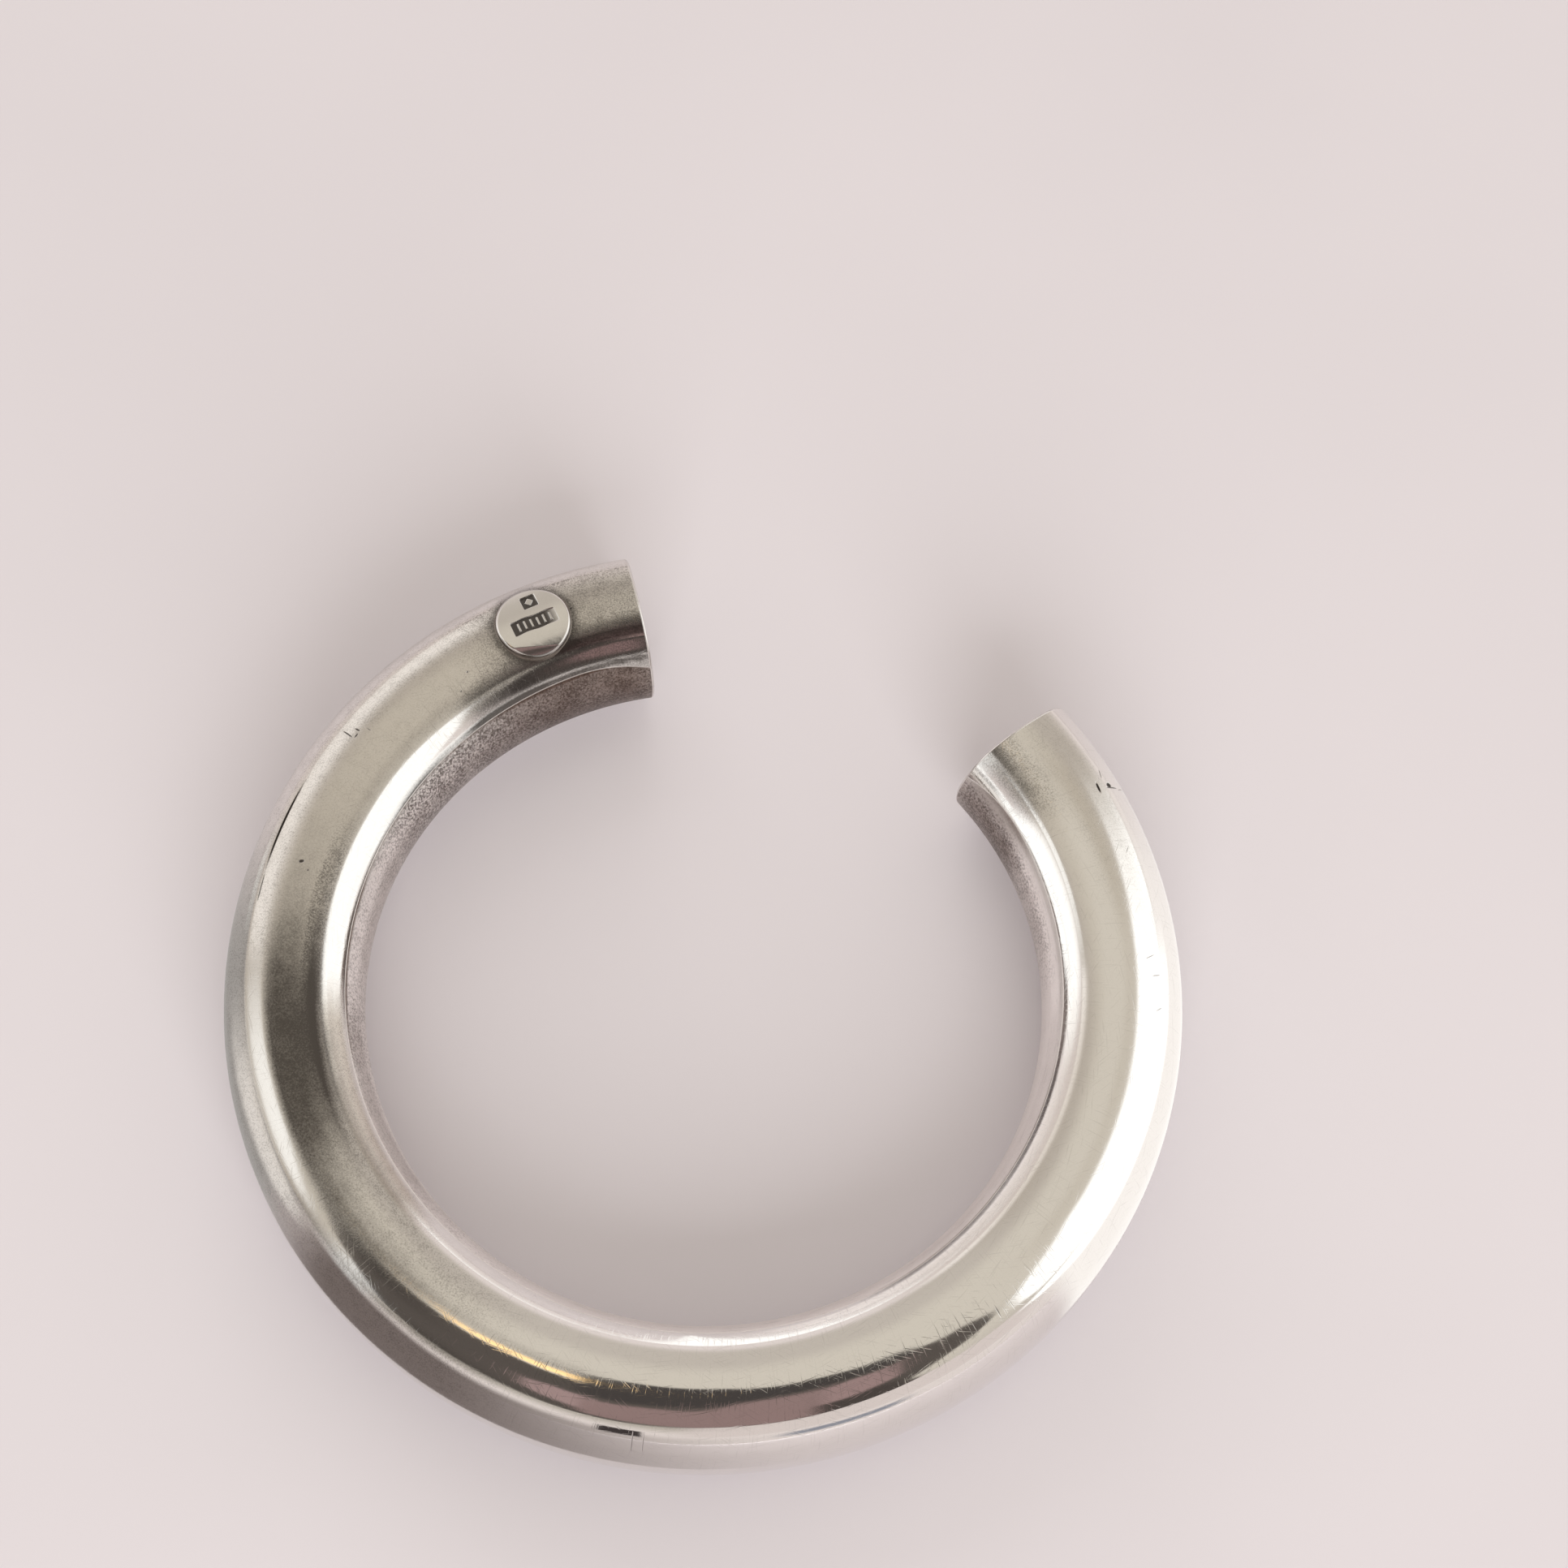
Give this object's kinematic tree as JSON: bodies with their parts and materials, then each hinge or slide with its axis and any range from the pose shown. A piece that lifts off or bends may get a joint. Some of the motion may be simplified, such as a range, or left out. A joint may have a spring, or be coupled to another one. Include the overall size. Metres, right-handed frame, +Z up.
{
  "type": "open arm ring",
  "caption": "Rigid open arm ring: a hollow rounded tube bent to most of a circle, with flat closed ends, a smooth inner band and a small round mark plate on its upper side.",
  "frame": {"origin": "centre of the ring on the surface that it lies on", "axes": "+Z up along the ring's axis, +Y from the centre out through the middle of the gap, +X across the ring, away from the arm with the mark plate"},
  "size_m": [0.076, 0.0708, 0.0121],
  "materials": {
    "silver": "polished silver with light brownish tarnish, satin on the inner band"
  },
  "bodies": {
    "root": {"arm_ring": "silver"}
  },
  "joints": []
}
